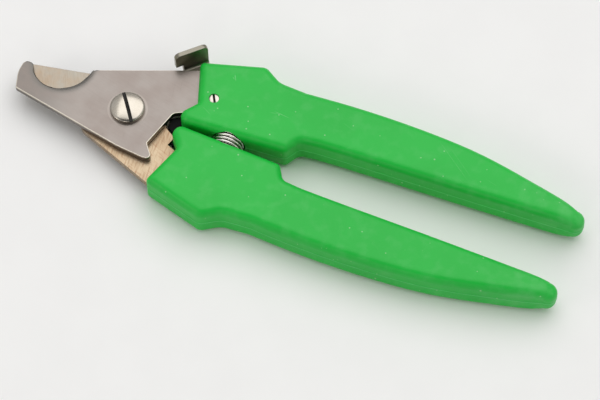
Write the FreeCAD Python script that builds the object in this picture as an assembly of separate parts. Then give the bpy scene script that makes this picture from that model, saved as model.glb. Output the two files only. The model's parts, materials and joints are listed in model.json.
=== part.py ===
"""Plier-type claw clipper: hook blade, cutting blade, moulded handles, return spring, thumb catch."""
import FreeCAD, Part
import math
import os

# ---- driving dimensions, millimetres -------------------------------------------------
# The plan is drawn about the blade pivot, +X towards the handle ends, +Y towards the
# handle that carries the hook blade.  LENGTH_FRONT and LENGTH_REAR set the origin, which
# is the middle of the outline, on the surface that the clipper lies on.
LENGTH_FRONT = 33.32         # pivot to the tip of the hook
LENGTH_REAR = 129.1          # pivot to the ends of the handles
PIVOT_X = (LENGTH_FRONT - LENGTH_REAR) / 2.0
HANDLE_HEIGHT = 11.0
SEAM_Z = HANDLE_HEIGHT / 2.0
PLATE = 2.0                  # thickness of each blade plate
HANDLE_ROUND = 2.3           # rounding of the handles' edges
TIP_ROUND_X = 120.5          # the ends' rounding above and below begins here
TIP_ROUND_LENGTH = 10.0      # length of the oval it follows
CORNER_ROUND = 1.2           # rounding of the handles' front outer corners
PLATE_GAP = 0.06             # running gap between the two plates
FIT = 0.05                   # clearance of a plate or peg in its recess

# pivot joint
SHANK_R = 3.0
THREAD_R = 2.5
BORE_CLEARANCE = 0.04
HEAD_R = 4.8
HEAD_RIM = 1.3
HEAD_HEIGHT = 2.3
HEAD_SLOT_WIDTH = 0.95
HEAD_SLOT_DEPTH = 1.1
HEAD_SLOT_ANGLE = -54.0
WASHER_R = 4.6
WASHER_THICKNESS = 0.5
NUT_FLATS = 8.0
NUT_THICKNESS = 2.5
NUT_CHAMFER_R = 4.35

# return spring, its axis along Y
SPRING_X = 29.6
SPRING_R = 4.5               # outer radius
SPRING_WIRE = 0.8
SPRING_POCKET_R = 4.8
SPRING_FLOOR = 8.0           # depth of each pocket's floor from the middle line
SPRING_END_GAP = 0.05
SPRING_TURNS = 15.0

# thumb catch, which lies in the plane of the cutting blade
CATCH_X, CATCH_Y = 21.9, 10.0
CATCH_THICKNESS = 1.7
CATCH_HUB_R = 2.75
CATCH_TRAVEL = 5.0           # degrees from free to locked
CATCH_PIN_R = 1.45
CATCH_PIN_SLOT_ANGLE = -61.0
CATCH_PIN_SLOT_WIDTH = 0.6
CATCH_PIN_SLOT_DEPTH = 0.9
CATCH_PIN_Z0 = 1.6
CATCH_PIN_CHAMFER = 0.25
CATCH_ROOM = 0.25            # clearance round the catch in its pocket
CATCH_WASHER_R = 2.6
CATCH_WASHER_THICKNESS = 0.25
TAB_THICKNESS = 1.35
TAB_LENGTH = 9.7
TAB_TOP = 13.0
TAB_ROUND = 1.6
TAB_SHOULDER_Z = 7.65        # below this only the narrow neck of the tab comes down
NECK_START = 2.2             # along the tab
TAB_START = (7.6, 16.95)
TAB_ANGLE = 43.7
BEND_INSIDE = 0.8            # bend radii between the lever and the tab
BEND_OUTSIDE = 1.3

# slot in the lower nose that the catch's claw works in, polar about the blade pivot
SLOT_R_IN = 15.25
SLOT_R_TOOTH = 17.85
SLOT_R_OUT = 18.95
TOOTH_ANGLE = -12.5          # underside of the tooth
SLOT_FLOOR_ANGLE = -21.0
SLOT_TOP_ANGLE = 6.0

# recesses for the tangs, between the nose and the step in each tang's inner edge
RECESS_FRONT = 12.0          # in front of the nose, so that the recess is open there
RECESS_STEP = 24.3
RECESS_STEP_Y = 9.3
UPPER_RECESS_Y = 4.8         # inner side of the room for the hook blade's neck
LOWER_RECESS_Y = 1.6         # inner side of the room for the cutting blade's tang

PEG_R = 1.5
PEG_XS = (46.0, 68.0)
PEG_Y = 14.9
PEG_Z0 = 3.0                 # end of the upper handle's pegs

SLAB_LENGTH = 400.0          # slabs that part the shells, larger than the whole plan
SLAB_WIDTH = 100.0


# ---- helpers -------------------------------------------------------------------------
def vec(x, y, z=0.0):
    """A point of the plan, moved so that the origin is the middle of the outline."""
    return FreeCAD.Vector(x + PIVOT_X, y, z)


def polar(radius, degrees, z=0.0):
    """A point about the blade pivot."""
    return vec(radius * math.cos(math.radians(degrees)), radius * math.sin(math.radians(degrees)), z)


def mirrored(points):
    """The same outline on the other side of the middle line."""
    return [(p[0], -p[1]) + tuple(p[2:]) for p in points]


def rounded_edges(points, closed=True):
    """Straight runs joined by tangent arcs.  A point is (x, y) or (x, y, radius)."""
    count = len(points)
    edges = []
    places = [vec(p[0], p[1]) for p in points]
    radii = [p[2] if len(p) > 2 else 0.0 for p in points]
    starts, ends, arcs = [], [], []
    for i in range(count):
        here = places[i]
        if radii[i] == 0.0 or (not closed and i in (0, count - 1)):
            starts.append(here)
            ends.append(here)
            arcs.append(None)
            continue
        back = (places[i - 1] - here).normalize()
        ahead = (places[(i + 1) % count] - here).normalize()
        half = back.getAngle(ahead) / 2.0
        reach = radii[i] / math.tan(half)
        middle = (back + ahead).normalize()
        centre = here + middle * (radii[i] / math.sin(half))
        first = here + back * reach
        last = here + ahead * reach
        starts.append(first)
        ends.append(last)
        arcs.append(Part.Arc(first, centre - middle * radii[i], last).toShape())
    for i in range(count):
        if arcs[i]:
            edges.append(arcs[i])
        if i == count - 1 and not closed:
            break
        after = starts[(i + 1) % count]
        if (after - ends[i]).Length > 1e-6:
            edges.append(Part.LineSegment(ends[i], after).toShape())
    return edges


def prism(edges, z0, z1):
    """A solid between two heights over a closed outline."""
    face = Part.Face(Part.Wire(Part.__sortEdges__(edges)))
    face.translate(FreeCAD.Vector(0, 0, z0))
    return face.extrude(FreeCAD.Vector(0, 0, z1 - z0))


def plate(points, z0, z1):
    """A flat plate with rounded corners."""
    return prism(rounded_edges(points), z0, z1)


def disc(x, y, radius, z0, z1):
    """A round bar along Z."""
    return Part.makeCylinder(radius, z1 - z0, vec(x, y, z0))


def sector(r0, r1, a0, a1, z0, z1):
    """Part of a ring about the blade pivot."""
    ring = disc(0, 0, r1, z0, z1).cut(disc(0, 0, r0, z0, z1))
    far = 2.0 * r1
    wedge = [vec(0, 0), polar(far, a0), polar(far, a1)]
    lines = [Part.LineSegment(wedge[i], wedge[(i + 1) % 3]).toShape() for i in range(3)]
    return ring.common(prism(lines, z0, z1))


def export(shape, name):
    """Write one piece."""
    if len(shape.Solids) == 1:
        shape = shape.Solids[0]
    print("%-22s solids %d valid %s volume %.1f" % (name, len(shape.Solids), shape.isValid(), shape.Volume))
    shape.exportStep("parts/%s.step" % name)


# ---- outlines ------------------------------------------------------------------------
# Handle outline on the +Y side: the block beside the spring, nose, front face, shoulder,
# long outer curve, tip and inner curve.
FRONT_CORNER = (13.6, 20.1)
BLOCK_TO_SHOULDER = [
    (54.0, 6.85), (48.6, 6.3, 2.6), (46.2, 2.1, 1.6), (15.0, 0.45, 2.4), (15.0, 3.9, 1.6),
    (17.9, 7.6, 1.0), FRONT_CORNER, (31.6, 25.3, 2.8), (36.8, 22.0, 6.0), (45.0, 21.5),
]
OUTER_CURVE = [
    (45.0, 21.5), (62.0, 22.35), (80.0, 22.15), (98.0, 20.55), (113.0, 17.5), (120.2, 15.85), (126.0, 14.2),
]
TIP_MIDDLE = (129.1, 11.5)
INNER_CURVE = [(126.0, 8.95), (112.0, 8.45), (90.0, 7.8), (70.0, 7.35), (54.0, 6.85)]


def curve(points):
    """A smooth curve through a few points."""
    line = Part.BSplineCurve()
    line.interpolate([vec(x, y) for x, y in points])
    return line.toShape()


def handle_blank(side):
    """The whole handle before it is split into its two shells; side is +1 or -1."""
    edges = rounded_edges(BLOCK_TO_SHOULDER, closed=False)
    edges.append(curve(OUTER_CURVE))
    edges.append(Part.Arc(vec(*OUTER_CURVE[-1]), vec(*TIP_MIDDLE), vec(*INNER_CURVE[0])).toShape())
    edges.append(curve(INNER_CURVE))
    body = prism(edges, 0.0, HANDLE_HEIGHT)
    if side < 0:
        body = body.mirror(FreeCAD.Vector(0, 0, 0), FreeCAD.Vector(0, 1, 0))
    body = body.cut(tip_waste())
    body = body.makeFillet(HANDLE_ROUND, [e for e in body.Edges if is_rim(e)])
    corner = vec(FRONT_CORNER[0], side * FRONT_CORNER[1], SEAM_Z)
    upright = [e for e in body.Edges if e.distToShape(Part.Vertex(corner))[0] < 1e-4]
    return body.makeFillet(CORNER_ROUND, upright)


def is_rim(edge):
    """Whether an edge of the handle lies between its side wall and its top or bottom."""
    box = edge.optimalBoundingBox(False)
    upright = max(box.XLength, box.YLength) < 1e-3
    across = box.XLength < 1e-3 and abs(box.XMin - vec(TIP_ROUND_X, 0.0).x) < 1e-3
    return not upright and not across


def tip_waste():
    """What the rounding of a handle's end takes off, above and below an oval roll."""
    height = HANDLE_HEIGHT / 2.0
    breadth = 4.0 * OUTER_CURVE[0][1]
    start = vec(TIP_ROUND_X, -breadth / 2.0, SEAM_Z)
    long_axis, short_axis = FreeCAD.Vector(TIP_ROUND_LENGTH, 0, 0), FreeCAD.Vector(0, 0, height)
    oval = Part.Ellipse(start + long_axis, start + short_axis, start)
    roll = Part.Face(Part.Wire([oval.toShape()])).extrude(FreeCAD.Vector(0, breadth, 0))
    corner = start - 2.0 * short_axis
    room = Part.makeBox(2.0 * TIP_ROUND_LENGTH, breadth, 4.0 * height, corner)
    return room.cut(roll)


# Hook blade outline from the notch along the top edge, round the tang, the ear and the
# lower edge to the tip.  The notch itself is a smooth curve.
TOP_EDGE = [(-14.0, 8.1, 0.6), (15.2, 19.3, 1.5)]
TANG_OUTER = [(34.0, 19.2, 6.0), (79.0, 17.3, 2.0)]
TANG_INNER = [(79.0, 12.6, 2.0), (50.0, 11.4, 8.0), (35.4, 10.3, 1.0), (24.2, 9.4, 0.8)]
HOOK_NECK = [(24.0, 5.4, 1.0), (15.6, 4.9, 0.6), (12.4, 3.3, 1.8)]
EAR = [(9.15, -8.0, 0.9), (12.5, -12.3, 1.1), (9.5, -12.65, 3.0), (1.5, -11.75, 8.0)]
HOOK_TIP = [(-31.9, -4.8, 0.8), (-33.4, 0.2, 8.0), (-33.1, 4.5, 1.7), (-30.5, 4.3, 0.7)]
NOTCH = [
    (-30.2, 3.5), (-28.9, 1.5), (-26.5, -0.35), (-23.3, -1.1), (-19.8, -0.15), (-16.8, 2.0), (-14.9, 5.2),
]

# Cutting blade outline: the straight back, the ear, the corner in front of the claw's slot,
# the tang and the cutting edge.
BLADE_BACK = [(-31.9, 4.7, 0.5), (-15.0, 7.75, 3.0)]
CLAW_CORNER = [(11.7, -0.65, 0.4), (15.0, -2.7), (16.6, -1.7), (24.0, -2.2, 0.8)]
CUTTING_EDGE = [(-9.6, -9.72, 3.0), (-14.0, -4.6, 6.0), (-24.0, -4.3, 16.0), (-31.4, -3.2, 0.4)]

# Catch outline: the claw that hooks behind the tooth, and the arm out to the thumb tab.
CATCH_CLAW = [
    (18.9, 8.9, 1.5), (15.5, 4.9, 2.0), (13.1, 3.4, 1.2), (11.75, 2.4, 1.0), (12.1, -0.3, 0.6),
    (15.35, -2.2, 0.3), (14.9, -4.9, 0.3), (16.7, -5.3, 0.4), (16.95, -3.85, 0.2),
    (16.15, -3.45, 0.2), (16.45, -1.6, 1.5), (17.9, 0.6, 3.0), (23.6, 8.0, 1.5),
]
CATCH_ARM = [(23.9, 11.4, 1.5), (16.6, 21.2, 1.2)]
CATCH_ARM_ROOT = [(18.7, 10.9, 1.0)]

HOOK_Z0 = SEAM_Z + PLATE_GAP / 2.0
HOOK_Z1 = SEAM_Z + PLATE
BLADE_Z0 = SEAM_Z - PLATE
BLADE_Z1 = SEAM_Z - PLATE_GAP / 2.0
CATCH_Z0 = SEAM_Z - PLATE / 2.0 - CATCH_THICKNESS / 2.0
CATCH_Z1 = CATCH_Z0 + CATCH_THICKNESS
CATCH_FLOOR = CATCH_Z0 - CATCH_WASHER_THICKNESS


def turned(shape, degrees, x=0.0, y=0.0):
    """A copy turned about an upright axis."""
    copy = shape.copy()
    copy.rotate(vec(x, y), FreeCAD.Vector(0, 0, 1), degrees)
    return copy


def slotted(head, x, y, top, radius, width, depth, angle):
    """Cut a screwdriver slot across a head."""
    length = 2.0 * radius + 1.0
    blade = Part.makeBox(length, width, depth + 1.0, vec(x - length / 2.0, y - width / 2.0, top - depth))
    return head.cut(turned(blade, angle, x, y))


def tab_point(along, out):
    """A place on the thumb tab, measured along its inner face and outwards from it."""
    angle = math.radians(TAB_ANGLE)
    x = TAB_START[0] + along * math.cos(angle) - out * math.sin(angle)
    y = TAB_START[1] + along * math.sin(angle) + out * math.cos(angle)
    return (x, y)


def tang_recess(inner_y):
    """Outline of the room for a tang on the +Y side, from inner_y outwards."""
    shoulder_x, shoulder_y = TOP_EDGE[-1][:2]
    outline = [(RECESS_FRONT, shoulder_y), (shoulder_x, shoulder_y + FIT)]
    outline += [(p[0] + FIT, p[1] + FIT) + p[2:] for p in TANG_OUTER]
    outline += [(p[0], p[1] - FIT) + p[2:] for p in TANG_INNER[:3]]
    return outline + [(RECESS_STEP, RECESS_STEP_Y), (RECESS_STEP, inner_y), (RECESS_FRONT, inner_y)]


def spring_pockets():
    """Round pockets for the spring's two ends, as one bar along Y."""
    start = vec(SPRING_X, -SPRING_FLOOR, SEAM_Z)
    return Part.makeCylinder(SPRING_POCKET_R, 2.0 * SPRING_FLOOR, start, FreeCAD.Vector(0, 1, 0))


def claw_slot():
    """Slot in the lower nose that the catch's claw leaves when the handles open."""
    mouth = sector(SLOT_R_IN, SLOT_R_TOOTH, SLOT_FLOOR_ANGLE, SLOT_TOP_ANGLE, CATCH_FLOOR, SEAM_Z)
    undercut = sector(SLOT_R_IN, SLOT_R_OUT, SLOT_FLOOR_ANGLE, TOOTH_ANGLE, CATCH_FLOOR, SEAM_Z)
    return mouth.fuse(undercut)


def catch_outline():
    """Edges of the catch's flat lever."""
    neck = [tab_point(TAB_LENGTH, 0.0), tab_point(TAB_LENGTH, TAB_THICKNESS)]
    neck += [tab_point(NECK_START, TAB_THICKNESS), tab_point(NECK_START, 0.0)]
    return rounded_edges(CATCH_CLAW + CATCH_ARM + neck + CATCH_ARM_ROOT)


def catch_pocket():
    """Room for the lever in the upper rear shell over the whole of its travel."""
    face = Part.Face(Part.Wire(Part.__sortEdges__(catch_outline())))
    face = face.makeOffset2D(CATCH_ROOM)
    face.translate(FreeCAD.Vector(0, 0, CATCH_FLOOR))
    lever = face.extrude(FreeCAD.Vector(0, 0, SEAM_Z - CATCH_FLOOR))
    room = disc(CATCH_X, CATCH_Y, CATCH_HUB_R + CATCH_ROOM, CATCH_FLOOR, SEAM_Z)
    for share in (0.0, 0.5, 1.0):
        room = room.fuse(turned(lever, share * CATCH_TRAVEL, CATCH_X, CATCH_Y))
    return room


# ---- pieces --------------------------------------------------------------------------
def hook_blade():
    """Front plate with the hook; its tang is held in the upper handle."""
    outline = [NOTCH[-1]] + TOP_EDGE + TANG_OUTER + TANG_INNER + HOOK_NECK + EAR + HOOK_TIP + [NOTCH[0]]
    body = prism(rounded_edges(outline, closed=False) + [curve(NOTCH)], HOOK_Z0, HOOK_Z1)
    body = body.cut(disc(0, 0, SHANK_R + BORE_CLEARANCE, HOOK_Z0, HOOK_Z1))
    body = body.cut(disc(CATCH_X, CATCH_Y, CATCH_PIN_R, HOOK_Z0, HOOK_Z1))
    for x in PEG_XS:
        body = body.cut(disc(x, PEG_Y, PEG_R + FIT, HOOK_Z0, HOOK_Z1))
    return body


def cutting_blade():
    """Rear plate that cuts; its tang is held in the lower handle."""
    ear = mirrored(EAR[::-1])
    outline = BLADE_BACK + ear + CLAW_CORNER + mirrored(TANG_INNER[::-1]) + mirrored(TANG_OUTER[::-1])
    outline += mirrored(TOP_EDGE[:0:-1]) + CUTTING_EDGE
    body = plate(outline, BLADE_Z0, BLADE_Z1).cut(claw_slot())
    body = body.cut(disc(0, 0, SHANK_R + BORE_CLEARANCE, BLADE_Z0, BLADE_Z1))
    for x in PEG_XS:
        body = body.cut(disc(x, -PEG_Y, PEG_R + FIT, BLADE_Z0, BLADE_Z1))
    return body


def upper_handle_shells():
    """Front and rear shells of the handle that carries the hook blade and the catch."""
    blank = handle_blank(1).cut(spring_pockets())
    recess = plate(tang_recess(UPPER_RECESS_Y), SEAM_Z, HOOK_Z1 + FIT)
    front = blank.common(half_space(SEAM_Z, HANDLE_HEIGHT)).cut(recess)
    rear = blank.common(half_space(0.0, SEAM_Z)).cut(catch_pocket())
    front = front.cut(disc(CATCH_X, CATCH_Y, CATCH_PIN_R, SEAM_Z, HANDLE_HEIGHT))
    rear = rear.cut(disc(CATCH_X, CATCH_Y, CATCH_PIN_R, CATCH_PIN_Z0, SEAM_Z))
    for x in PEG_XS:
        front = front.fuse(disc(x, PEG_Y, PEG_R, PEG_Z0, HOOK_Z1 + FIT))
        rear = rear.cut(disc(x, PEG_Y, PEG_R + FIT, PEG_Z0 - FIT, SEAM_Z))
    return front, rear


def lower_handle_shells():
    """Front and rear shells of the handle that carries the cutting blade."""
    blank = handle_blank(-1).cut(spring_pockets())
    recess = plate(mirrored(tang_recess(LOWER_RECESS_Y)), BLADE_Z0 - FIT, SEAM_Z)
    front = blank.common(half_space(SEAM_Z, HANDLE_HEIGHT))
    rear = blank.common(half_space(0.0, SEAM_Z)).cut(recess)
    rear = rear.cut(claw_slot()).cut(catch_pocket())
    top = HANDLE_HEIGHT - PEG_Z0
    for x in PEG_XS:
        rear = rear.fuse(disc(x, -PEG_Y, PEG_R, BLADE_Z0 - FIT, top))
        front = front.cut(disc(x, -PEG_Y, PEG_R + FIT, SEAM_Z, top + FIT))
    return front, rear


def half_space(z0, z1):
    """A slab that takes in the whole plan between two heights."""
    corner = FreeCAD.Vector(-SLAB_LENGTH / 2.0, -SLAB_WIDTH / 2.0, z0)
    return Part.makeBox(SLAB_LENGTH, SLAB_WIDTH, z1 - z0, corner)


def pivot_screw():
    """Slotted pan-head screw with a shoulder for both plates and a thread for the nut."""
    top = HOOK_Z1 + HEAD_HEIGHT
    rim = HOOK_Z1 + HEAD_RIM
    rise = top - rim
    dome_r = (HEAD_R ** 2 + rise ** 2) / (2.0 * rise)
    dome = Part.makeSphere(dome_r, vec(0, 0, top - dome_r))
    head = disc(0, 0, HEAD_R, HOOK_Z1, top).common(dome)
    head = slotted(head, 0, 0, top, HEAD_R, HEAD_SLOT_WIDTH, HEAD_SLOT_DEPTH, HEAD_SLOT_ANGLE)
    shoulder = disc(0, 0, SHANK_R, BLADE_Z0, HOOK_Z1)
    thread = disc(0, 0, THREAD_R, BLADE_Z0 - WASHER_THICKNESS - NUT_THICKNESS, BLADE_Z0)
    return head.fuse(shoulder).fuse(thread).removeSplitter()


def spring_washer():
    """Thin washer between the cutting blade and the nut."""
    z1 = BLADE_Z0 - PLATE_GAP
    z0 = BLADE_Z0 - WASHER_THICKNESS
    return disc(0, 0, WASHER_R, z0, z1).cut(disc(0, 0, THREAD_R + FIT, z0, z1))


def pivot_nut():
    """Low hexagon nut behind the blades."""
    z1 = BLADE_Z0 - WASHER_THICKNESS
    z0 = z1 - NUT_THICKNESS
    corners = [polar(NUT_FLATS / math.sqrt(3.0), 60.0 * i) for i in range(6)]
    lines = [Part.LineSegment(corners[i], corners[(i + 1) % 6]).toShape() for i in range(6)]
    nut = prism(lines, z0, z1)
    cone = Part.makeCone(NUT_CHAMFER_R, NUT_CHAMFER_R + NUT_THICKNESS, NUT_THICKNESS, vec(0, 0, z0))
    return nut.common(cone).cut(disc(0, 0, THREAD_R, z0, z1))


def return_spring():
    """Compression spring with its ends in the two pockets."""
    middle_r = SPRING_R - SPRING_WIRE / 2.0
    length = 2.0 * SPRING_FLOOR - SPRING_WIRE - 2.0 * SPRING_END_GAP
    helix = Part.makeHelix(length / SPRING_TURNS, length, middle_r)
    around = FreeCAD.Vector(0, 1, 0)
    section = Part.Wire(Part.makeCircle(SPRING_WIRE / 2.0, FreeCAD.Vector(middle_r, 0, 0), around))
    coil = Part.Wire(helix.Edges).makePipeShell([section], True, True)
    coil.rotate(FreeCAD.Vector(0, 0, 0), FreeCAD.Vector(1, 0, 0), -90.0)
    coil.translate(vec(SPRING_X, -length / 2.0, SEAM_Z))
    return coil


def thumb_catch():
    """Flat lever with a claw at one end and a tab bent up for the thumb at the other."""
    lever = prism(catch_outline(), CATCH_Z0, CATCH_Z1)
    lever = lever.fuse(disc(CATCH_X, CATCH_Y, CATCH_HUB_R, CATCH_Z0, CATCH_Z1))
    neck = [tab_point(NECK_START, 0), tab_point(TAB_LENGTH, 0), tab_point(TAB_LENGTH, TAB_THICKNESS)]
    neck.append(tab_point(NECK_START, TAB_THICKNESS))
    tab = [tab_point(0, 0), tab_point(TAB_LENGTH, 0), tab_point(TAB_LENGTH, TAB_THICKNESS)]
    tab.append(tab_point(0, TAB_THICKNESS))
    thumb = plate(tab, TAB_SHOULDER_Z, TAB_TOP)
    at_top = [e for e in thumb.Edges if e.BoundBox.ZMin > TAB_TOP - 1e-6]
    ends = [e for e in at_top if abs(e.Length - TAB_THICKNESS) < 1e-6]
    thumb = thumb.makeFillet(TAB_ROUND, ends)
    body = lever.fuse([plate(neck, CATCH_Z0, TAB_SHOULDER_Z), thumb]).removeSplitter()
    for out, z, radius in ((0.0, CATCH_Z1, BEND_INSIDE), (TAB_THICKNESS, CATCH_Z0, BEND_OUTSIDE)):
        on_bend = Part.Vertex(vec(*tab_point((NECK_START + TAB_LENGTH) / 2.0, out), z))
        bend = [e for e in body.Edges if e.distToShape(on_bend)[0] < 1e-4]
        body = body.makeFillet(radius, bend)
    return body.cut(disc(CATCH_X, CATCH_Y, CATCH_PIN_R + BORE_CLEARANCE, CATCH_Z0, CATCH_Z1))


def catch_pin():
    """Slotted pin that the catch turns on, flush with the front of the handle."""
    top = HANDLE_HEIGHT
    pin = disc(CATCH_X, CATCH_Y, CATCH_PIN_R, CATCH_PIN_Z0, top)
    rim = [e for e in pin.Edges if e.BoundBox.ZMin > top - 1e-3]
    pin = pin.makeChamfer(CATCH_PIN_CHAMFER, rim)
    width, depth = CATCH_PIN_SLOT_WIDTH, CATCH_PIN_SLOT_DEPTH
    return slotted(pin, CATCH_X, CATCH_Y, top, CATCH_PIN_R, width, depth, CATCH_PIN_SLOT_ANGLE)


def catch_washer():
    """Thin washer that keeps the catch from rattling."""
    ring = disc(CATCH_X, CATCH_Y, CATCH_WASHER_R, CATCH_FLOOR, CATCH_Z0)
    return ring.cut(disc(CATCH_X, CATCH_Y, CATCH_PIN_R + BORE_CLEARANCE, CATCH_FLOOR, CATCH_Z0))


def main():
    """Build and write every piece."""
    os.makedirs("parts", exist_ok=True)
    upper_front, upper_rear = upper_handle_shells()
    lower_front, lower_rear = lower_handle_shells()
    export(hook_blade(), "hook_blade")
    export(cutting_blade(), "cutting_blade")
    export(upper_front, "upper_handle_front")
    export(upper_rear, "upper_handle_rear")
    export(lower_front, "lower_handle_front")
    export(lower_rear, "lower_handle_rear")
    export(pivot_screw(), "pivot_screw")
    export(spring_washer(), "spring_washer")
    export(pivot_nut(), "pivot_nut")
    export(return_spring(), "return_spring")
    export(thumb_catch(), "thumb_catch")
    export(catch_pin(), "catch_pin")
    export(catch_washer(), "catch_washer")


main()
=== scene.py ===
"""Plier-type claw clipper: detailed meshes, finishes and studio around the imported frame."""

import json
import logging
import math
from dataclasses import dataclass, field
from enum import Enum
from typing import Iterable, Optional, Sequence, Union

import bmesh
import bpy
from bmesh.types import BMEdge, BMesh, BMFace
from bpy.types import Material, NodeSocket, Object, World
from mathutils import Matrix, Vector


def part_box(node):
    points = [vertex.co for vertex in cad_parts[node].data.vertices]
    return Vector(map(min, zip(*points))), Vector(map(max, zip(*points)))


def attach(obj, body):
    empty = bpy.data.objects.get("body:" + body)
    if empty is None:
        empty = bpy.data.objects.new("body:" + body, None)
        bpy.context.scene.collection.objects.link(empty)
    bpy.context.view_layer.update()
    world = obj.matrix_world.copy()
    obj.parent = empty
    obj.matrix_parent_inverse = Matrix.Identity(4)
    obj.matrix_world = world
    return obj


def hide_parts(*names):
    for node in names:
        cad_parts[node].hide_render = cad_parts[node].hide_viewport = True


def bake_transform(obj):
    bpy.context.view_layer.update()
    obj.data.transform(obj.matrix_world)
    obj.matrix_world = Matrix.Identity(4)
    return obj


logging.basicConfig(level=logging.INFO, format="%(message)s")
log = logging.getLogger("clipper")

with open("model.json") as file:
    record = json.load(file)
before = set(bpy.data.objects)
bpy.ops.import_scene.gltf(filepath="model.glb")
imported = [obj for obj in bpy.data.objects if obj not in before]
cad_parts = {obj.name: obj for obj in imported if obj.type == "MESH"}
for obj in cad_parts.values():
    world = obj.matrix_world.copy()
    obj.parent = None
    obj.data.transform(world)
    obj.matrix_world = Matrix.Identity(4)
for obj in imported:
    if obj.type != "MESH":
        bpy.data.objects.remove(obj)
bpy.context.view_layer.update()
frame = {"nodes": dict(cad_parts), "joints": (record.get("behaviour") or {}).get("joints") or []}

MM = 0.001
ORIGIN = (0.0, 0.0, 0.0)
Colour = tuple[float, float, float]
Place = Sequence[float]
Value = Union["Signal", float, Colour]


class Body(Enum):
    """The rigid bodies that a piece can ride on."""

    UPPER = "upper_handle"
    LOWER = "lower_handle"
    CATCH = "catch"


class Slot(Enum):
    """The record's material slots."""

    BLADE = "blade_steel"
    GROUND = "ground_steel"
    PLASTIC = "green_plastic"
    SCREW = "screw_steel"
    SPRING = "spring_steel"
    CATCH = "catch_steel"


def srgb(red: float, green: float, blue: float) -> Colour:
    """Linear colour from display values of 0 to 255.

    Args:
        red: Display red.
        green: Display green.
        blue: Display blue.

    Returns:
        The colour in linear light.
    """
    def linear(value: float) -> float:
        """One channel in linear light."""
        share = value / 255.0
        return share / 12.92 if share <= 0.04045 else ((share + 0.055) / 1.055) ** 2.4

    return (linear(red), linear(green), linear(blue))


# ---- shader graph ----------------------------------------------------------------------
class Signal:
    """A shader value.  Arithmetic on it adds Math nodes."""

    def __init__(self, graph: "Graph", socket: NodeSocket) -> None:
        """Wrap one output socket of the graph."""
        self.graph = graph
        self.socket = socket

    def _math(self, operation: str, first: Value, second: Value = 0.0, clamp: bool = False) -> "Signal":
        """Add one Math node."""
        settings = {"operation": operation, "use_clamp": clamp}
        return self.graph.node("ShaderNodeMath", settings, {0: first, 1: second})

    def __add__(self, other: Value) -> "Signal":
        """Sum."""
        return self._math("ADD", self, other)

    __radd__ = __add__

    def __sub__(self, other: Value) -> "Signal":
        """Difference."""
        return self._math("SUBTRACT", self, other)

    def __rsub__(self, other: Value) -> "Signal":
        """Difference with this signal on the right."""
        return self._math("SUBTRACT", other, self)

    def __mul__(self, other: Value) -> "Signal":
        """Product."""
        return self._math("MULTIPLY", self, other)

    __rmul__ = __mul__

    def __pow__(self, other: Value) -> "Signal":
        """Power."""
        return self._math("POWER", self, other)

    def __rpow__(self, other: Value) -> "Signal":
        """Power with this signal as the exponent."""
        return self._math("POWER", other, self)

    def clamped(self) -> "Signal":
        """The value held between 0 and 1."""
        return self._math("ADD", self, 0.0, clamp=True)

    def most(self, other: Value) -> "Signal":
        """The larger of two values."""
        return self._math("MAXIMUM", self, other)

    def size(self) -> "Signal":
        """The value without its sign."""
        return self._math("ABSOLUTE", self)

    def above(self, low: float, high: float) -> "Signal":
        """A smooth step from 0 at low to 1 at high; low may be the larger."""
        settings = {"interpolation_type": "SMOOTHSTEP"}
        return self.graph.node("ShaderNodeMapRange", settings, {0: self, 1: low, 2: high})


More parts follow.
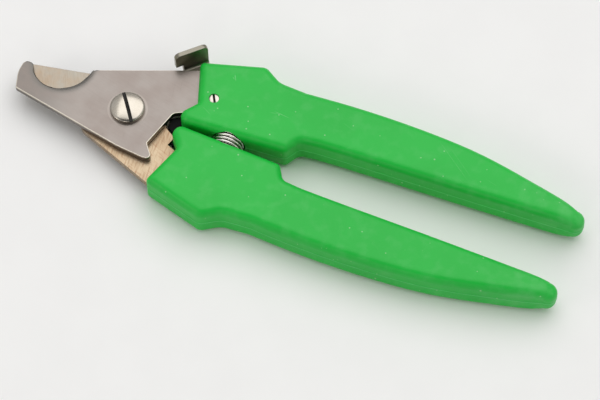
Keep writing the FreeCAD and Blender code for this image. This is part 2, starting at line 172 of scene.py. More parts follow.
class Graph:
    """The node graph of one material or world."""

    def __init__(self, owner: Union[Material, World], coords: str = "Object") -> None:
        """Empty the owner's graph.

        Args:
            owner: The material or world.
            coords: Output of Texture Coordinate that patterns follow.
        """
        owner.use_nodes = True
        self.owner = owner
        self.tree = owner.node_tree
        self.tree.nodes.clear()
        self.place = self.node("ShaderNodeTexCoord", {}, {}, coords)

    def node(
        self,
        kind: str,
        settings: Optional[dict] = None,
        inputs: Optional[dict] = None,
        output: Union[int, str, None] = 0,
    ) -> Optional[Signal]:
        """Add any node.

        Args:
            kind: Name of the node's type.
            settings: Properties of the node.
            inputs: Values or signals for its sockets, by name or number.
            output: The output socket that is returned, or None for a node without one.

        Returns:
            The chosen output as a signal.
        """
        node = self.tree.nodes.new(kind)
        for key, value in (settings or {}).items():
            setattr(node, key, value)
        for key, value in (inputs or {}).items():
            socket = node.inputs[key]
            if isinstance(value, Signal):
                self.tree.links.new(value.socket, socket)
            elif isinstance(value, tuple) and socket.type == "RGBA":
                socket.default_value = (*value, 1.0) if len(value) == 3 else value
            else:
                socket.default_value = value
        return None if output is None else Signal(self, node.outputs[output])

    def mapped(self, scale: Place, offset: Place = ORIGIN, turn: float = 0.0) -> Signal:
        """Object coordinates, moved, turned about Z and scaled per metre.

        Args:
            scale: Cycles per metre along each axis.
            offset: Added to the coordinates first, in metres.
            turn: Turn about Z in degrees, before scaling.

        Returns:
            The coordinates as a vector signal.
        """
        inputs = {0: self.place, 1: tuple(offset)}
        moved = self.node("ShaderNodeVectorMath", {"operation": "ADD"}, inputs)
        inputs = {"Vector": moved, "Angle": math.radians(turn)}
        turned = self.node("ShaderNodeVectorRotate", {"rotation_type": "Z_AXIS"}, inputs)
        inputs = {0: turned, 1: tuple(scale)}
        return self.node("ShaderNodeVectorMath", {"operation": "MULTIPLY"}, inputs)

    def noise(self, coords: Signal, detail: float = 3.0, rough: float = 0.5) -> Signal:
        """Fractal noise of about 0 to 1."""
        inputs = {"Vector": coords, "Scale": 1.0, "Detail": detail, "Roughness": rough}
        return self.node("ShaderNodeTexNoise", {}, inputs)

    def even_noise(self, scale: float, detail: float, offset: Place = ORIGIN) -> Signal:
        """Noise with the same number of cycles per metre along every axis."""
        return self.noise(self.mapped((scale, scale, scale), offset), detail)

    def cells(self, scale: float, offset: Place = ORIGIN) -> Signal:
        """Distance to the nearest point of a scatter with so many cells per metre."""
        coords = self.mapped((scale, scale, scale), offset)
        return self.node("ShaderNodeTexVoronoi", {}, {"Vector": coords, "Scale": 1.0}, "Distance")

    def mix(self, share: Value, first: Value, second: Value) -> Signal:
        """Blend two colours."""
        return self.node("ShaderNodeMix", {"data_type": "RGBA"}, {0: share, 6: first, 7: second}, 2)

    def bump(self, height: Signal, depth: float, below: Optional[Signal] = None) -> Signal:
        """Bump from a height of 0 to 1.

        Args:
            height: The height signal.
            depth: Real depth in metres that a height of 1 stands for.
            below: A bump that this one adds to.

        Returns:
            The bumped normal.
        """
        inputs = {"Height": height, "Distance": depth, "Strength": 1.0}
        if below is not None:
            inputs["Normal"] = below
        return self.node("ShaderNodeBump", {}, inputs)

    def axis(self, letter: str) -> Signal:
        """One of the object coordinates, in metres."""
        return self.node("ShaderNodeSeparateXYZ", {}, {0: self.place}, letter)

    def out(self, shader: Signal, kind: str = "ShaderNodeOutputMaterial") -> None:
        """Link a shader to the output of the material or world."""
        self.node(kind, {}, {"Surface": shader}, None)

    def surface(self, inputs: dict) -> Material:
        """Finish the material with a Principled shader.

        Args:
            inputs: Values of its sockets, by name.

        Returns:
            The finished material.
        """
        self.out(self.node("ShaderNodeBsdfPrincipled", {}, inputs))
        return self.owner


def stroke(graph: Graph, start: Place, end: Place, width: float) -> Signal:
    """Mask of a fine straight mark in plan, 1 along its middle.

    Args:
        graph: Graph of the material.
        start: One end in plan, in metres.
        end: The other end.
        width: Half width of the mark, in metres.

    Returns:
        The mask.
    """
    run = Vector((end[0] - start[0], end[1] - start[1]))
    length = run.length
    across = (-run.y / length, run.x / length)
    x = graph.axis("X") - start[0]
    y = graph.axis("Y") - start[1]
    along = x * (run.x / length) + y * (run.y / length)
    off = (x * across[0] + y * across[1]).size()
    ends = along.above(-0.1 * length, 0.25 * length) * along.above(1.1 * length, 0.75 * length)
    return off.above(width, 0.2 * width) * ends


PIVOT = Vector(next(j["pos_m"] for j in frame["joints"] if j["name"] == "handle_hinge"))
CATCH_AXIS = Vector(next(j["pos_m"] for j in frame["joints"] if j["name"] == "catch_hinge"))


def from_pivot(x: float, y: float, z: float = 0.0) -> Vector:
    """A place given in millimetres from the blade pivot in plan and from the floor in height."""
    return Vector((PIVOT.x + x * MM, PIVOT.y + y * MM, z * MM))


# ---- finishes --------------------------------------------------------------------------
# Scratches and scuffs on the upper handle, and one painted highlight: both ends in plan from the pivot
# and the half width, in millimetres, then the strength.
MARKS = (
    ((39.1, 12.1), (43.6, 11.6), 0.16, 1.0),
    ((38.0, 11.3), (41.0, 12.0), 0.10, 0.8),
    ((24.5, 19.1), (25.4, 17.3), 0.24, 1.0),
    ((24.2, 18.2), (24.9, 17.6), 0.16, 0.8),
    # painted highlight: this faint mark below the catch pin stands in for the sheen on the rounded front
    # edge
    ((20.1, 6.3), (22.7, 4.9), 0.10, 0.6),
    ((84.8, 19.4), (95.2, 11.3), 0.10, 0.55),
    ((88.3, 18.5), (96.2, 12.2), 0.08, 0.45),
    ((58.0, 15.5), (61.0, 14.4), 0.07, 0.4),
    ((100.5, 13.0), (104.0, 12.1), 0.07, 0.4),
)


@dataclass(frozen=True)
class Plastic:
    """Satin moulded plastic with mould grain, dust specks, fine scratches, rub marks and a painted sheen
    on the paler ends.

    Attributes:
        name: Name of the material.
        colour: The fresh colour.
        deep: Colour of the slow darker drifts.
        roughness: Middle roughness.
        pale: Colour of rubbed and scratched places, and of the painted sheen at the ends.
        dust: Colour of the specks.
        ends: Where the paler handle ends, partly scuffs and partly painted sheen, begin and are full, in
            metres from the pivot.
        face: Heights between which the long marks fade in, in metres.
    """

    name: str
    colour: Colour
    deep: Colour
    roughness: float
    pale: Colour = srgb(140, 214, 150)
    dust: Colour = srgb(206, 226, 200)
    ends: tuple[float, float] = (106.0 * MM, 124.0 * MM)
    face: tuple[float, float] = (9.0 * MM, 10.5 * MM)

    def material(self) -> Material:
        """Build the material.

        Returns:
            The finished material.
        """
        g = Graph(bpy.data.materials.new(self.name))
        drift = g.even_noise(45.0, 4.0)
        blotch = g.even_noise(260.0, 3.0, (0.3, 0.1, 0.0))
        grain = g.even_noise(5200.0, 2.0)
        pits = g.even_noise(1500.0, 2.0, (0.1, 0.2, 0.3))
        across = g.noise(g.mapped((500, 11000, 900), turn=33.0), detail=2.0)
        along = g.noise(g.mapped((350, 8200, 900), (0.02, 0.05, 0.0), turn=-12.0), detail=2.0)
        fine = (across.above(0.66, 0.74) + along.above(0.68, 0.76)).clamped() * drift.above(0.42, 0.62)
        specks = self._specks(g, 330.0, 0.085, ORIGIN)
        specks = specks + self._specks(g, 210.0, 0.075, (0.07, 0.03, 0.01))
        marks = self._marks(g)
        begin, full = PIVOT.x + self.ends[0], PIVOT.x + self.ends[1]
        # paler ends: partly real scuffs, partly a painted sheen where the rounded tips catch the light
        rubbed = g.axis("X").above(begin, full) * blotch.above(0.30, 0.62)
        tone = g.mix(drift.above(0.35, 0.70) * 0.55, self.colour, self.deep)
        tone = g.mix((blotch.above(0.45, 0.75) * 0.08 + rubbed * 0.10).clamped(), tone, self.pale)
        tone = g.mix((fine * 0.10 + marks * 0.40).clamped(), tone, self.pale)
        tone = g.mix(specks.clamped() * 0.42, tone, self.dust)
        rough = (drift - 0.5) * 0.10 + (grain - 0.5) * 0.05
        rough = rough + fine * 0.10 + marks * 0.12 + self.roughness
        normal = g.bump(grain, 0.006 * MM)
        normal = g.bump(pits, 0.018 * MM, normal)
        normal = g.bump(1.0 - (fine * 0.3 + marks).clamped(), 0.010 * MM, normal)
        inputs = {"Base Color": tone, "Roughness": rough.clamped(), "Normal": normal}
        return g.surface({**inputs, "Specular IOR Level": 0.4})

    @staticmethod
    def _specks(g: Graph, scale: float, size: float, offset: Place) -> Signal:
        """Dust specks in some cells of a scatter.

        Args:
            g: Graph of the material.
            scale: Cells per metre.
            size: Radius of a speck, as a share of a cell.
            offset: Moves the scatter, in metres.

        Returns:
            Their mask.
        """
        near = g.cells(scale, offset)
        pick = g.even_noise(scale * 0.9, 1.0, offset)
        return near.above(size, 0.4 * size) * pick.above(0.44, 0.50)

    def _marks(self, g: Graph) -> Signal:
        """The longer marks on the upper handle.

        Args:
            g: Graph of the material.

        Returns:
            Their mask.
        """
        total = g.axis("Z") * 0.0
        for start, end, width, strength in MARKS:
            line = stroke(g, from_pivot(*start)[:2], from_pivot(*end)[:2], width * MM)
            total = total + line * strength
        patchy = g.even_noise(900.0, 2.0, (0.2, 0.0, 0.0)).above(0.30, 0.55)
        return (total * (patchy * 0.6 + 0.4) * g.axis("Z").above(*self.face)).clamped()


@dataclass(frozen=True)
class Steel:
    """Worked steel with grinding lines, tarnish, fine scratches and stains.

    Attributes:
        name: Name of the material.
        colour: Main colour.
        tint: Colour of the drifting tarnish.
        stain: Colour of small dark stains.
        roughness: Middle roughness.
        lines: Strength of the grinding lines, 0 to 1.
        turn: Direction of the grinding lines in degrees.
        haze: How much the tarnish drifts, 0 to 1.
    """

    name: str
    colour: Colour
    tint: Colour
    stain: Colour
    roughness: float
    lines: float = 0.5
    turn: float = 0.0
    haze: float = 0.5

    def base(self, g: Graph) -> Value:
        """Main colour, before tarnish and lines."""
        return self.colour

    def material(self) -> Material:
        """Build the material.

        Returns:
            The finished material.
        """
        g = Graph(bpy.data.materials.new(self.name))
        drift = g.noise(g.mapped((110, 110, 110), (0.11, 0.02, 0.0)), detail=4.0, rough=0.6)
        cloud = g.even_noise(420.0, 3.0, (0.02, 0.30, 0.0))
        brushed = g.noise(g.mapped((180, 9000, 1800), turn=self.turn), detail=3.0, rough=0.6)
        cross = g.mapped((260, 6000, 1800), (0.01, 0.02, 0.0), turn=self.turn + 64.0)
        crossed = g.noise(cross, detail=2.0)
        scratch = crossed.above(0.67, 0.74) * drift.above(0.40, 0.60)
        spots = g.cells(330.0).above(0.10, 0.02) * cloud.above(0.52, 0.62)
        tone = g.mix((drift.above(0.30, 0.72) * self.haze).clamped(), self.base(g), self.tint)
        tone = g.mix((brushed.above(0.42, 0.75) * self.lines * 0.45).clamped(), tone, self.stain)
        tone = g.mix(spots * 0.25, tone, self.stain)
        rough = (brushed - 0.5) * 0.22 * self.lines + (drift - 0.5) * 0.16
        rough = rough + scratch * 0.12 + self.roughness
        normal = g.bump(brushed, 0.004 * MM * self.lines)
        normal = g.bump(cloud, 0.010 * MM * self.haze, normal)
        normal = g.bump(1.0 - scratch, 0.004 * MM, normal)
        inputs = {"Base Color": tone, "Metallic": 1.0, "Roughness": rough.clamped(), "Normal": normal}
        self.detail(g, inputs)
        return g.surface(inputs)

    def detail(self, g: Graph, inputs: dict) -> None:
        """Change the shader's inputs for what one kind of part shows; plain steel shows no more."""


@dataclass(frozen=True)
class CrossGroundSteel(Steel):
    """Tarnished steel ground in two directions, greyer towards the tip.

    Attributes:
        grey: Colour of the greyer end.
        streak: Colour of the reddish streaks.
        change: Where the colour changes, in metres along X.
        blend: Half the length over which it changes.
    """

    grey: Colour = (0.5, 0.5, 0.5)
    streak: Colour = (0.5, 0.4, 0.3)
    change: float = 0.0
    blend: float = 6.0 * MM

    def base(self, g: Graph) -> Value:
        """Main colour, before tarnish and lines."""
        return g.mix(self._warm(g), self.grey, self.colour)

    def _warm(self, g: Graph) -> Signal:
        """Mask of the warmer end of the blade."""
        return g.axis("X").above(self.change - self.blend, self.change + self.blend)

    def detail(self, g: Graph, inputs: dict) -> None:
        """Streaks of grinding across the first.

        Args:
            g: Graph of the material.
            inputs: Inputs of its shader, which are changed in place.
        """
        first = g.noise(g.mapped((240, 2400, 800), (0.03, 0.0, 0.0), self.turn + 24.0), detail=3.0)
        second = g.noise(g.mapped((280, 2700, 800), (0.0, 0.07, 0.0), self.turn - 40.0), detail=3.0)
        streaks = (first.above(0.52, 0.68) * 0.5 + second.above(0.54, 0.70) * 0.45).clamped()
        reddish = self._warm(g) * 0.72 + 0.06
        inputs["Base Color"] = g.mix(streaks * reddish, inputs["Base Color"], self.streak)
        inputs["Roughness"] = inputs["Roughness"] + (first - second) * 0.12
        inputs["Normal"] = g.bump(first + second, 0.004 * MM, inputs["Normal"])


@dataclass(frozen=True)
class CatchSteel(Steel):
    """Darkened steel, with painted highlights along the tab's top and on the bend at its foot and painted
    shade on the claw inside.

    Attributes:
        bright: Colour of the painted highlights.
        claw_shade: Colour of the painted shade on the claw inside.
        foot: Height under which the bend is bright, in metres.
        crest: Height over which the tab's end is bright, in metres.
        beyond: Inside this the claw carries painted shade and outside it the lever does not, in metres
            along Y.
    """

    bright: Colour = (0.6, 0.6, 0.6)
    claw_shade: Colour = (0.01, 0.01, 0.01)
    foot: float = 0.0
    crest: float = 1.0
    beyond: float = 0.0

    def detail(self, g: Graph, inputs: dict) -> None:
        """Painted highlights and the painted shade on the claw.

        Args:
            g: Graph of the material.
            inputs: Inputs of its shader, which are changed in place.
        """
        z = g.axis("Z")
        ragged = z + (g.even_noise(900.0, 2.0) - 0.5) * (0.6 * MM)
        outer = g.axis("Y").above(self.beyond - MM, self.beyond + MM)
        # painted highlight: the bend at the foot and the tab's top edge are lightened where they catch the
        # light
        painted_highlight = ragged.above(self.foot + 0.4 * MM, self.foot - 0.2 * MM) * outer
        painted_highlight = (painted_highlight + ragged.above(self.crest - 0.3 * MM, self.crest + 0.1 * MM)).clamped()
        # painted shade: the claw inside the handles is darkened to stand in for the shade it sits in
        inputs["Base Color"] = g.mix(outer, self.claw_shade, inputs["Base Color"])
        inputs["Base Color"] = g.mix(painted_highlight, inputs["Base Color"], self.bright)
        inputs["Roughness"] = inputs["Roughness"] + painted_highlight * 0.05 + (1.0 - outer) * 0.20


@dataclass(frozen=True)
class SlottedSteel(Steel):
    """Bright steel of a slotted head, with painted shade down in the slot.

    Attributes:
        centre: Axis of the head.
        top: Height of the crown, in metres.
        crown: Radius of the domed face, in metres.
        slot_turn: Direction of the slot in degrees.
        slot_half: Half the width of the slot, in metres.
        reach: Radius of the head, in metres.
        slot_shade: Colour of the painted shade down in the slot.
    """

    centre: tuple[float, float] = (0.0, 0.0)
    top: float = 0.0
    crown: float = 1.0
    slot_turn: float = 0.0
    slot_half: float = 0.5 * MM
    reach: float = 5.0 * MM
    slot_shade: Colour = srgb(26, 22, 17)

    def detail(self, g: Graph, inputs: dict) -> None:
        """Painted shade down in the slot.

        Args:
            g: Graph of the material.
            inputs: Inputs of its shader, which are changed in place.
        """
        angle = math.radians(self.slot_turn)
        x, y, z = g.axis("X") - self.centre[0], g.axis("Y") - self.centre[1], g.axis("Z")
        off = (y * math.cos(angle) - x * math.sin(angle)).size()
        square = x * x + y * y
        under = (self.top - square * (0.5 / self.crown) - z).above(0.06 * MM, 0.16 * MM)
        inside = off.above(self.slot_half * 1.12, self.slot_half * 1.02) * under
        inside = inside * square.above(self.reach ** 2 * 1.02, self.reach ** 2)
        inside = inside * z.above(self.top - 1.6 * MM, self.top - 1.3 * MM)
        # painted shade: the slot is darkened and made less metallic to stand in for the shade down in it
        inputs["Base Color"] = g.mix(inside, inputs["Base Color"], self.slot_shade)
        inputs["Metallic"] = 1.0 - inside * 0.9
        inputs["Roughness"] = inputs["Roughness"].most(inside * 0.65)


@dataclass(frozen=True)
class NotchedSteel(Steel):
    """Ground plate with painted shade on its hollow-ground notch and out along the hook, painted
    highlights on the broken edges and a rub ring.

    Attributes:
        centre: Middle of the grinding wheel's path, in metres.
        inner: Radius of the notch, in metres.
        outer: Radius where the hollow grinding runs out, in metres.
        shade: Colour of the painted shade on the hollow grinding.
        hook_shade: Colour of the painted shade out along the hook.
        rim_highlight: Colour of the painted highlight on the broken edges.
        rubbed: Colour of the faint ring that the screw's head has rubbed.
        ring: Radius of that ring, in metres.
        top: Height of the plate's front face, in metres.
    """

    centre: tuple[float, float] = (0.0, 0.0)
    inner: float = 0.0
    outer: float = 0.0
    shade: Colour = (0.3, 0.3, 0.3)
    hook_shade: Colour = (0.2, 0.2, 0.2)
    rim_highlight: Colour = (0.8, 0.8, 0.8)
    rubbed: Colour = srgb(226, 218, 208)
    ring: float = 5.3 * MM
    top: float = 0.0

    def base(self, g: Graph) -> Value:
        """Main colour, with painted shade out along the hook."""
        # painted shade: the hook darkens towards its tip, where its tilted face takes less light
        out = g.axis("X").above(PIVOT.x - 12.0 * MM, PIVOT.x - 30.0 * MM)
        return g.mix(out * 0.8, self.colour, self.hook_shade)

    def detail(self, g: Graph, inputs: dict) -> None:
        """Painted shade on the hollow grinding, rub ring and painted highlights on the edges.

        Args:
            g: Graph of the material.
            inputs: Inputs of its shader, which are changed in place.
        """
        x, y, z = g.axis("X") - self.centre[0], g.axis("Y") - self.centre[1], g.axis("Z")
        radius = (x * x + y * y) ** 0.5
        band = radius.above(self.outer + 0.6 * MM, self.inner + 0.4 * MM)
        swirl = {"X": radius * 9000.0, "Y": y * 150.0, "Z": z * 900.0}
        round_lines = g.noise(g.node("ShaderNodeCombineXYZ", {}, swirl), detail=2.0)
        px, py = g.axis("X") - PIVOT.x, g.axis("Y") - PIVOT.y
        ring = ((px * px + py * py) ** 0.5 - self.ring).size().above(0.45 * MM, 0.15 * MM)
        ring = ring * z.above(self.top - 0.5 * MM, self.top - 0.1 * MM)
        rim = z.above(self.top - 0.36 * MM, self.top - 0.30 * MM)
        rim = rim * z.above(self.top - 0.01 * MM, self.top - 0.04 * MM)
        rim = rim * radius.above(self.outer - 0.2 * MM, self.outer + 0.4 * MM)
        # painted shade: the hollow-ground band round the notch is darkened where its tilted face takes
        # less light
        tone = g.mix(band * 0.75, inputs["Base Color"], self.shade)
        tone = g.mix(ring * 0.10, tone, self.rubbed)
        # painted highlight: a cream line along the broken top edges stands in for the light they catch
        inputs["Base Color"] = g.mix(rim * 0.62, tone, self.rim_highlight)
        inputs["Roughness"] = inputs["Roughness"] - band * 0.06 + band * (round_lines - 0.5) * 0.20
        inputs["Normal"] = g.bump(round_lines * band, 0.003 * MM, inputs["Normal"])


# ---- bench: meshes into pieces ---------------------------------------------------------
MERGE = 0.002 * MM
FLAT = math.radians(0.4)


def link(obj: Object) -> Object:
    """Put an object in the scene."""
    bpy.context.scene.collection.objects.link(obj)
    return obj


def refinish(node: str, material: Material) -> None:
    """Give a CAD node that stays a new finish.

    Args:
        node: Name of the node.
        material: The new finish.
    """
    slots = frame["nodes"][node].data.materials
    slots.clear()
    slots.append(material)
    log.info("%-22s dressed", node)


def cad_copy(node: str) -> BMesh:
    """Merged copy of a CAD node's mesh, with its flat faces joined.

    Args:
        node: Name of the node.

    Returns:
        The copy.
    """
    bm = bmesh.new()
    bm.from_mesh(frame["nodes"][node].data)
    bmesh.ops.remove_doubles(bm, verts=bm.verts, dist=MERGE)
    bmesh.ops.dissolve_limit(bm, angle_limit=FLAT, verts=bm.verts, edges=bm.edges)
    return bm


def sharp_edges(bm: BMesh, degrees: float) -> list[BMEdge]:
    """Edges whose faces meet at more than an angle."""
    limit = math.radians(degrees)
    return [e for e in bm.edges if e.is_manifold and e.calc_face_angle(0.0) > limit]


def soften(bm: BMesh, width: float, segments: int = 2, degrees: float = 40.0) -> None:
    """Bevel every sharp edge.

    Args:
        bm: The mesh.
        width: Width of the bevel, in metres.
        segments: Number of segments.
        degrees: Angle past which an edge counts as sharp.
    """
    bmesh.ops.bevel(
        bm, geom=sharp_edges(bm, degrees), offset=width, offset_type="OFFSET", segments=segments,
        profile=0.5, affect="EDGES", clamp_overlap=False, material=-1,
    )


def lathe(profile: Iterable[Place], centre: Vector, steps: int = 72) -> BMesh:
    """Turned shape about an upright axis.

    Args:
        profile: (radius, height) points in metres, from the axis round to the axis.
        centre: A point of the axis.
        steps: Steps of the full turn.

    Returns:
        The closed mesh.
    """
    bm = bmesh.new()
    verts = [bm.verts.new((centre.x + r, centre.y, z)) for r, z in profile]
    edges = [bm.edges.new(pair) for pair in zip(verts, verts[1:])]
    bmesh.ops.spin(
        bm, geom=verts + edges, cent=centre, axis=(0, 0, 1), angle=math.tau, steps=steps, use_merge=True
    )
    bmesh.ops.remove_doubles(bm, verts=bm.verts, dist=MERGE)
    bmesh.ops.recalc_face_normals(bm, faces=bm.faces)
    return bm


def arc(centre: Place, radius: float, start: float, end: float, count: int) -> list[Place]:
    """Points along an arc, with angles in degrees from the radius axis."""
    turns = [math.radians(start + (end - start) * i / count) for i in range(count + 1)]
    return [(centre[0] + radius * math.cos(t), centre[1] + radius * math.sin(t)) for t in turns]


def block(size: Place, centre: Vector, degrees: float = 0.0) -> BMesh:
    """Box of a size, turned about its upright axis.

    Args:
        size: Its sides.
        centre: Its middle.
        degrees: Its turn.

    Returns:
        The box.
    """
    bm = bmesh.new()
    turn = Matrix.Rotation(math.radians(degrees), 4, "Z")
    place = Matrix.Translation(centre) @ turn @ Matrix.Diagonal((*size, 1.0))
    bmesh.ops.create_cube(bm, size=1.0, matrix=place)
    return bm


def carved(bm: BMesh, tool: BMesh, operation: str = "DIFFERENCE") -> BMesh:
    """Cut one mesh with another.

    Args:
        bm: The mesh that is cut; it is freed.
        tool: The mesh that cuts; it is freed.
        operation: "DIFFERENCE" or "INTERSECT".

    Returns:
        The result.
    """
    pair = []
    for part in (bm, tool):
        mesh = bpy.data.meshes.new("carving")
        part.to_mesh(mesh)
        part.free()
        pair.append(link(bpy.data.objects.new("carving", mesh)))
    cut = pair[0].modifiers.new("cut", "BOOLEAN")
    cut.operation, cut.solver, cut.object = operation, "EXACT", pair[1]
    bpy.context.view_layer.update()
    result = bmesh.new()
    result.from_object(pair[0], bpy.context.evaluated_depsgraph_get())
    for obj in pair:
        mesh = obj.data
        bpy.data.objects.remove(obj)
        bpy.data.meshes.remove(mesh)
    bmesh.ops.remove_doubles(result, verts=result.verts, dist=MERGE)
    bmesh.ops.dissolve_degenerate(result, edges=result.edges, dist=MERGE / 2.0)
    return result


def piece(
    bm: BMesh,
    name: str,
    material: Material,
    body: Optional[Body],
    stands_for: Sequence[str] = (),
    crease: float = 32.0,
) -> Object:
    """Turn a mesh into a finished piece.

    Args:
        bm: The mesh, which is freed.
        name: Name of the piece.
        material: Its material.
        body: The body that it rides on, or None to leave it unattached.
        stands_for: CAD nodes that it replaces.
        crease: Angle past which an edge stays crisp, in degrees.

    Returns:
        The object.
    """
    for face in bm.faces:
        face.smooth = True
    for edge in bm.edges:
        edge.smooth = not (edge.is_manifold and edge.calc_face_angle(0.0) > math.radians(crease))
    open_edges = sum(1 for e in bm.edges if not e.is_manifold)
    mesh = bpy.data.meshes.new(name)
    bm.to_mesh(mesh)
    bm.free()
    mesh.materials.append(material)
    obj = link(bpy.data.objects.new(name, mesh))
    weighted = obj.modifiers.new("even shading", "WEIGHTED_NORMAL")
    weighted.keep_sharp = True
    if stands_for:
        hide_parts(*stands_for)
    if body is not None:
        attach(obj, body.value)
    log.info("%-22s %6d faces, %d open edges", name, len(mesh.polygons), open_edges)
    return obj


# ---- sub-assemblies --------------------------------------------------------------------
@dataclass
class BladePlates:
    """The two ground plates.

    Attributes:
        edge: Width of the broken edges.
        grind_centre: Plan place of the grinding wheel's axis from the pivot, in millimetres.
        grind_inner: Radius at which the hollow grinding meets the notch's wall.
        grind_outer: Radius at which it runs out on the face.
        grind_depth: Its depth at the notch.
    """

    edge: float = 0.30 * MM
    grind_centre: tuple[float, float] = (-22.75, 7.5)
    grind_inner: float = 8.2 * MM
    grind_outer: float = 10.4 * MM
    grind_depth: float = 0.42 * MM

    def hook(self, material: Material) -> Object:
        """Front plate with its hollow-ground notch.

        Args:
            material: Its finish.

        Returns:
            The finished piece.
        """
        bm = carved(cad_copy("hook_blade"), self._wheel(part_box("hook_blade")[1].z))
        soften(bm, self.edge)
        return piece(bm, "hook_blade_ground", material, Body.UPPER, ["hook_blade"])

    def cutter(self, material: Material) -> Object:
        """Rear plate.

        Args:
            material: Its finish.

        Returns:
            The finished piece.
        """
        bm = cad_copy("cutting_blade")
        soften(bm, self.edge * 0.4)
        return piece(bm, "cutting_blade_ground", material, Body.LOWER, ["cutting_blade"])

    def _wheel(self, top: float) -> BMesh:
        """Tool whose round rim grinds the hollow.

        Args:
            top: Height of the plate's front face.

        Returns:
            The tool.
        """
        centre = from_pivot(*self.grind_centre)
        run, above = self.grind_outer - self.grind_inner, 1.0 * MM
        hollow = [
            (self.grind_inner + run * t, top - self.grind_depth * (1.0 - t) ** 1.7)
            for t in (0.0, 0.15, 0.3, 0.45, 0.6, 0.8, 1.0)
        ]
        inner = self.grind_inner * 0.4
        profile = [(0.0, top - self.grind_depth), (inner, top - self.grind_depth)] + hollow
        profile += [(self.grind_outer + run * 0.5, top + above), (0.0, top + above)]
        return lathe(profile, centre, 96)


@dataclass
class PivotJoint:
    """Screw, washer and nut that hold the plates together.

    Attributes:
        head_r: Radius of the head.
        rim: Height of the head's side; not used.
        rise: Height of the dome.
        shank_r: Radius of the shoulder in the plates.
        thread_r: Radius of the thread.
        slot_width: Width of the slot.
        slot_depth: Depth of the slot.
        slot_turn: Its direction in degrees.
        flats: Width of the nut across its flats.
        face_r: Radius of the nut's chamfered face.
    """

    head_r: float = 4.8 * MM
    rim: float = 1.3 * MM
    rise: float = 1.0 * MM
    shank_r: float = 3.0 * MM
    thread_r: float = 2.5 * MM
    slot_width: float = 0.95 * MM
    slot_depth: float = 1.1 * MM
    slot_turn: float = -54.0
    flats: float = 8.0 * MM
    face_r: float = 4.05 * MM

    @property
    def crown(self) -> float:
        """Radius of the domed face."""
        return (self.head_r ** 2 + self.rise ** 2) / (2.0 * self.rise)

    def screw(self, material: Material) -> Object:
        """Domed slotted screw.

        Args:
            material: Its finish.

        Returns:
            The finished piece.
        """
        low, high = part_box("pivot_screw")
        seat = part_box("hook_blade")[1].z
        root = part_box("cutting_blade")[0].z
        edge, chamfer = 0.28 * MM, 0.3 * MM
        sweep = math.degrees(math.asin((self.head_r - edge) / self.crown))
        dome = arc((0.0, high.z - self.crown), self.crown, 90.0, 90.0 - sweep, 14)
        shoulder = dome[-1][1] - edge * 1.2
        profile = [(0.0, high.z)] + dome[1:]
        profile += arc((self.head_r - edge, shoulder), edge, 75.0, 0.0, 4)
        profile += [(self.head_r, seat + 0.15 * MM), (self.head_r - 0.15 * MM, seat), (self.shank_r, seat)]
        profile += [(self.shank_r, root), (self.thread_r, root), (self.thread_r, low.z + chamfer)]
        profile += [(self.thread_r - chamfer, low.z), (0.0, low.z)]
        size = (2.0 * self.head_r + 2.0 * MM, self.slot_width, 2.0 * self.slot_depth)
        tool = block(size, Vector((PIVOT.x, PIVOT.y, high.z)), self.slot_turn)
        bm = carved(lathe(profile, PIVOT), tool)
        soften(bm, 0.05 * MM, 1, 50.0)
        return piece(bm, "pivot_screw_turned", material, Body.UPPER, ["pivot_screw"], 40.0)

    def nut(self, material: Material) -> Object:
        """Hexagon nut, chamfered on its outer side.

        Args:
            material: Its finish.

        Returns:
            The finished piece.
        """
        low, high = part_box("pivot_nut")
        bm = bmesh.new()
        corner = self.flats / math.sqrt(3.0)
        middle = Matrix.Translation((PIVOT.x, PIVOT.y, (low.z + high.z) / 2.0))
        bmesh.ops.create_cone(
            bm, cap_ends=True, segments=6, radius1=corner, radius2=corner, depth=high.z - low.z,
            matrix=middle @ Matrix.Rotation(math.pi / 6, 4, "Z"),
        )
        far, under, over = 6.0 * MM, low.z - MM, high.z + MM
        drop = (corner - self.face_r) * 0.55
        barrel = [(0.0, under), (self.face_r, low.z - 0.0001 * MM)]
        barrel += [(corner + 0.05 * MM, low.z + drop)]
        barrel += [(far, low.z + drop + (far - corner) * 0.55), (far, over), (0.0, over)]
        bm = carved(bm, lathe(barrel, PIVOT), "INTERSECT")
        bore = lathe([(0.0, under), (self.thread_r, under), (self.thread_r, over), (0.0, over)], PIVOT)
        bm = carved(bm, bore)
        soften(bm, 0.08 * MM, 2, 35.0)
        return piece(bm, "pivot_nut_cut", material, Body.UPPER, ["pivot_nut"])

    def washer(self, material: Material) -> Object:
        """Washer under the nut, with one side rounded by the punch.

        Args:
            material: Its finish.

        Returns:
            The finished piece.
        """
        low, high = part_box("spring_washer")
        outer, inner = (high.x - low.x) / 2.0, self.thread_r + 0.05 * MM
        edge = 0.12 * MM
        profile = [(inner, high.z), (outer, high.z), (outer, low.z + edge), (outer - edge, low.z)]
        profile += [(inner + edge, low.z), (inner, low.z + edge), (inner, high.z)]
        bm = lathe(profile, PIVOT)
        return piece(bm, "spring_washer_punched", material, Body.UPPER, ["spring_washer"])


